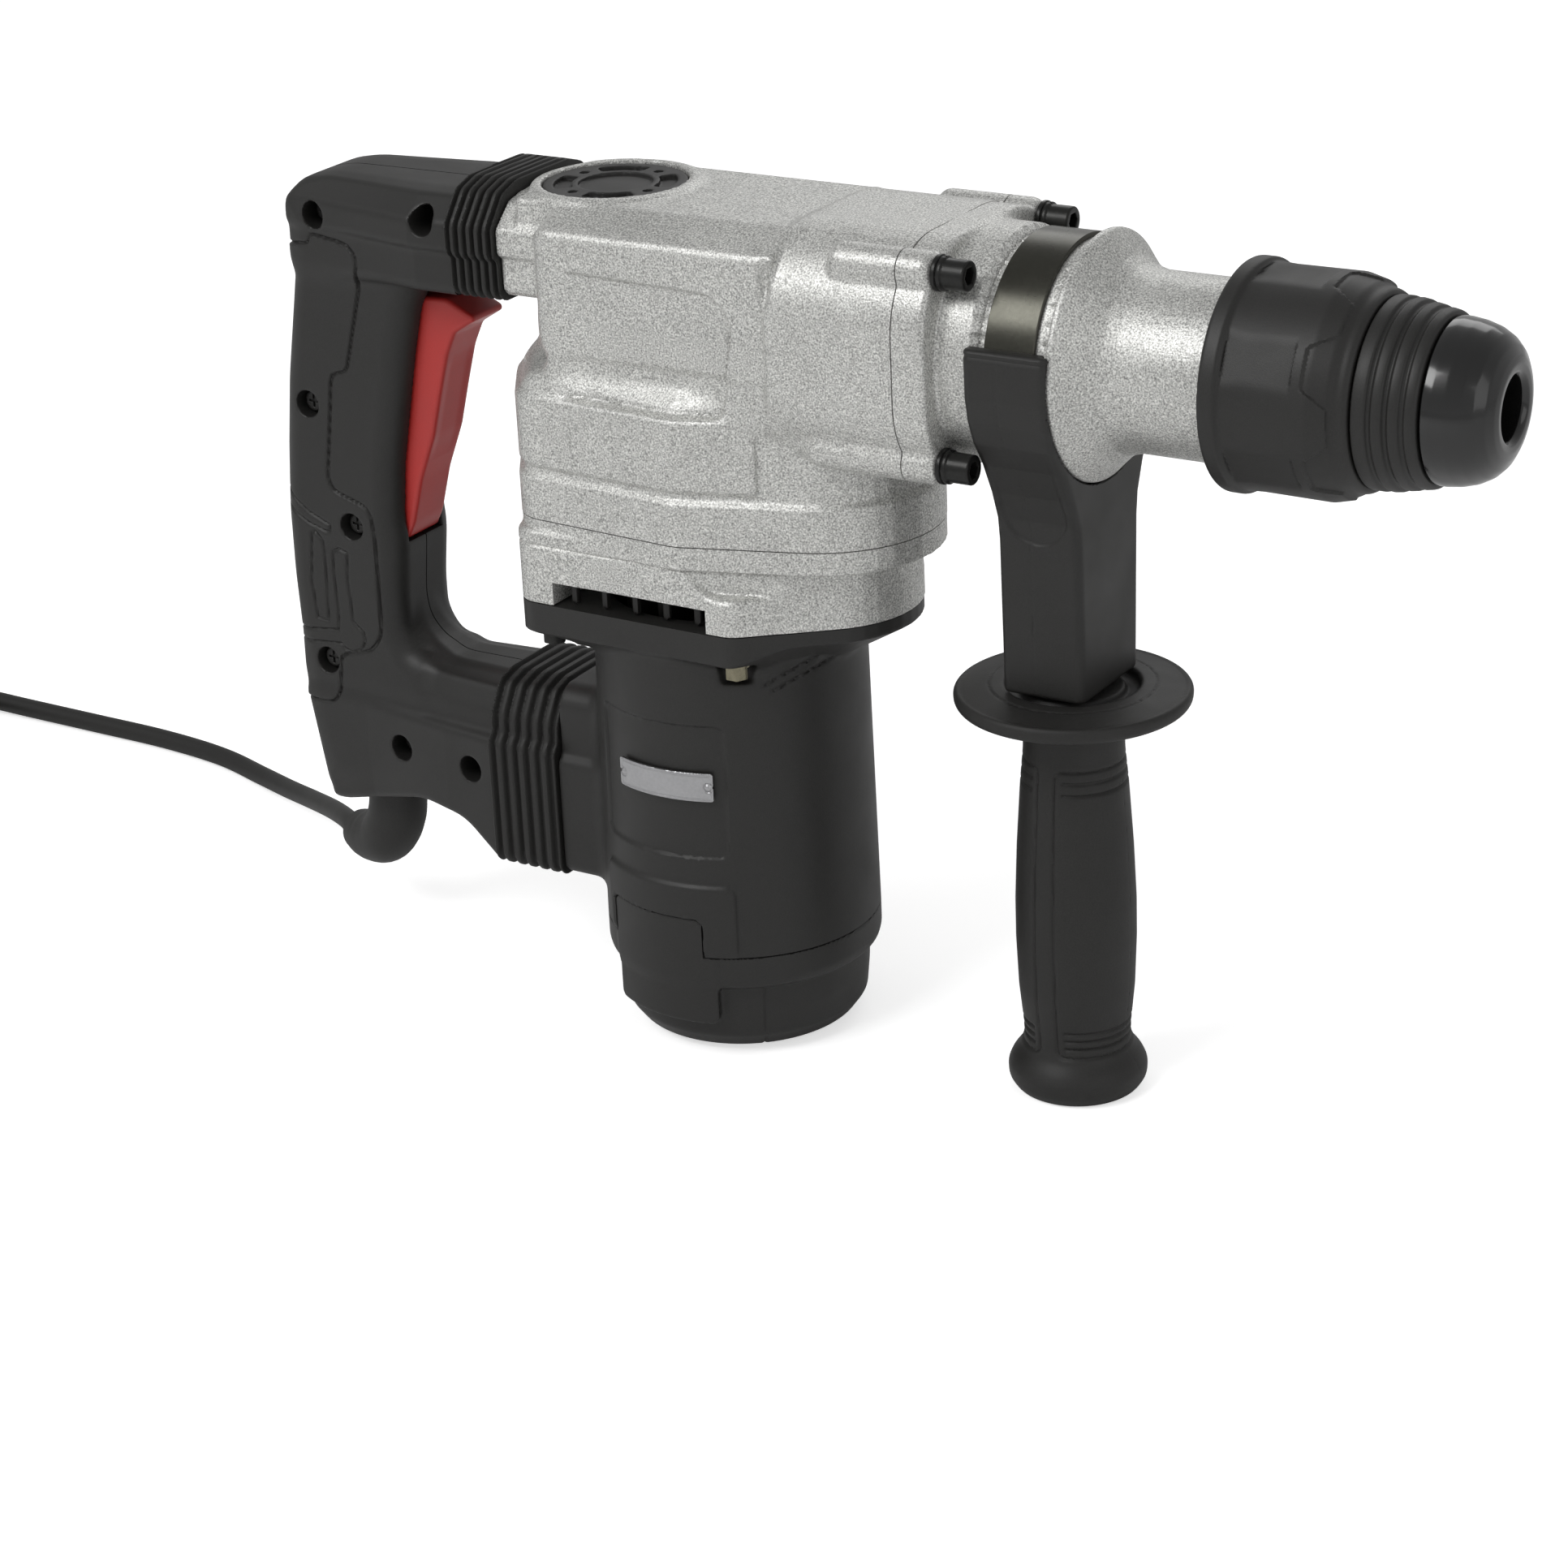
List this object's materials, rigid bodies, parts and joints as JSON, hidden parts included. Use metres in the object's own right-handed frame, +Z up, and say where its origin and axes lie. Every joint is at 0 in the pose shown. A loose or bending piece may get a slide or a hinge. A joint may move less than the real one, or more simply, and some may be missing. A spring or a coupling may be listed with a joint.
{
  "type": "rotary hammer",
  "caption": "Corded rotary hammer: upright motor, crank-driven striker in a horizontal spindle, sprung loop handle, swivelling side grip and pull-back tool socket.",
  "frame": {"origin": "centre of the motor end cap's flat bottom, on the motor axis; the tool stands on it and on the end of its side grip", "axes": "+X along the spindle towards the tool socket, +Z up along the motor axis, +Y to the operator's left"},
  "size_m": [0.8433, 0.1506, 0.305],
  "materials": {
    "silver_paint": "silver hammertone paint with a fine metallic speckle",
    "black_plastic": "fine matte moulded texture",
    "black_rubber": "soft satin rubber",
    "gloss_black": "glossy moulded rubber",
    "red_plastic": "satin red plastic",
    "black_steel": "black oxide",
    "zinc_steel": "yellow zinc passivation",
    "bright_steel": "ground and oiled",
    "plate": "brushed, with a dark border",
    "copper": "lacquered windings",
    "laminations": "varnished"
  },
  "bodies": {
    "root": {"gear_housing": "silver_paint", "front_housing": "silver_paint", "gearbox_base": "silver_paint", "crank_cover": "black_plastic", "motor_housing": "black_plastic", "motor_end_cap": "black_plastic", "carbon_brush_1": "black_plastic", "carbon_brush_2": "black_plastic", "upper_bellows": "black_rubber", "lower_bellows": "black_rubber", "front_bolt_1": "black_steel", "front_bolt_2": "black_steel", "front_bolt_3": "black_steel", "front_bolt_4": "black_steel", "flange_bolt_1": "zinc_steel", "flange_bolt_2": "zinc_steel", "flange_bolt_3": "zinc_steel", "flange_bolt_4": "zinc_steel", "spindle_bearing": "bright_steel", "motor_bearing_lower": "bright_steel", "motor_bearing_upper": "bright_steel", "name_plate": "plate", "stator": "laminations"},
    "handle": {"handle_right_shell": "black_plastic", "handle_left_shell": "black_plastic", "switch_block": "black_plastic", "cord_boot": "black_rubber", "power_cord": "black_rubber", "cord_coil": "black_rubber", "cord_plug": "black_rubber", "handle_screw_1": "black_steel", "handle_screw_2": "black_steel", "handle_screw_3": "black_steel", "handle_screw_4": "black_steel", "handle_screw_5": "black_steel", "handle_screw_6": "black_steel", "handle_screw_7": "black_steel"},
    "trigger": {"trigger": "red_plastic"},
    "armature": {"armature_shaft": "bright_steel", "armature_core": "copper", "cooling_fan": "black_plastic"},
    "crank": {"crankshaft": "bright_steel", "crank_gear": "bright_steel"},
    "layshaft": {"intermediate_gear": "bright_steel", "bevel_pinion": "bright_steel"},
    "spindle": {"hammer_tube": "bright_steel", "bevel_gear": "bright_steel", "tool_holder": "bright_steel", "sleeve_spring": "bright_steel", "dust_cap": "gloss_black"},
    "sleeve": {"lock_sleeve": "black_plastic"},
    "piston": {"piston": "bright_steel"},
    "con_rod": {"con_rod": "bright_steel"},
    "ram": {"ram": "bright_steel"},
    "impact_bolt": {"impact_bolt": "bright_steel"},
    "clamp": {"clamp_band": "black_steel", "clamp_saddle": "black_plastic", "clamp_bolt": "black_steel"},
    "grip": {"side_grip": "black_rubber"},
    "selector": {"selector_knob": "black_plastic"}
  },
  "joints": [
    {"name": "handle_damper", "type": "slide", "parent": "root", "child": "handle", "axis": [1, 0, 0], "range_m": [0, 0.004], "stiffness_N_per_m": 12000, "deforming": ["upper_bellows", "lower_bellows"]},
    {"name": "trigger_pull", "type": "hinge", "parent": "handle", "child": "trigger", "pos_m": [-0.129, 0, 0.169], "axis": [0, -1, 0], "range_deg": [0, 5], "stiffness_Nm_per_rad": 6, "springref_deg": -3.44},
    {"name": "armature_spin", "type": "hinge", "parent": "root", "child": "armature", "pos_m": [0, 0, 0.1], "axis": [0, 0, 1], "continuous": true},
    {"name": "crank_spin", "type": "hinge", "parent": "root", "child": "crank", "pos_m": [-0.0375, 0, 0.206], "axis": [0, 0, 1], "continuous": true},
    {"name": "layshaft_spin", "type": "hinge", "parent": "root", "child": "layshaft", "pos_m": [0.0425, 0, 0.205], "axis": [0, 0, 1], "continuous": true},
    {"name": "spindle_spin", "type": "hinge", "parent": "root", "child": "spindle", "pos_m": [0.1, 0, 0.264], "axis": [1, 0, 0], "continuous": true},
    {"name": "piston_slide", "type": "slide", "parent": "root", "child": "piston", "axis": [1, 0, 0], "range_m": [0, 0.022]},
    {"name": "rod_swing", "type": "hinge", "parent": "piston", "child": "con_rod", "pos_m": [-0.0025, 0, 0.264], "axis": [0, 0, 1], "range_deg": [-13.8, 13.8]},
    {"name": "ram_slide", "type": "slide", "parent": "root", "child": "ram", "axis": [1, 0, 0], "range_m": [-0.024, 0]},
    {"name": "impact_bolt_slide", "type": "slide", "parent": "root", "child": "impact_bolt", "axis": [1, 0, 0], "range_m": [0, 0.005]},
    {"name": "sleeve_pull", "type": "slide", "parent": "spindle", "child": "sleeve", "axis": [1, 0, 0], "range_m": [-0.01, 0], "stiffness_N_per_m": 1500, "springref_m": 0.008},
    {"name": "side_handle_swivel", "type": "hinge", "parent": "root", "child": "clamp", "pos_m": [0.135, 0, 0.264], "axis": [1, 0, 0], "continuous": true},
    {"name": "side_grip_twist", "type": "hinge", "parent": "clamp", "child": "grip", "pos_m": [0.135, 0, 0.1], "axis": [0, 0, 1], "range_deg": [0, 360]},
    {"name": "selector_turn", "type": "hinge", "parent": "root", "child": "selector", "pos_m": [0.03, 0.0508, 0.22], "axis": [0, 1, 0], "range_deg": [0, 90]}
  ],
  "couplings": [
    {"joint": "crank_spin", "follows": "armature_spin", "ratio": -0.25},
    {"joint": "layshaft_spin", "follows": "armature_spin", "ratio": -0.21429},
    {"joint": "spindle_spin", "follows": "armature_spin", "ratio": -0.059524}
  ]
}
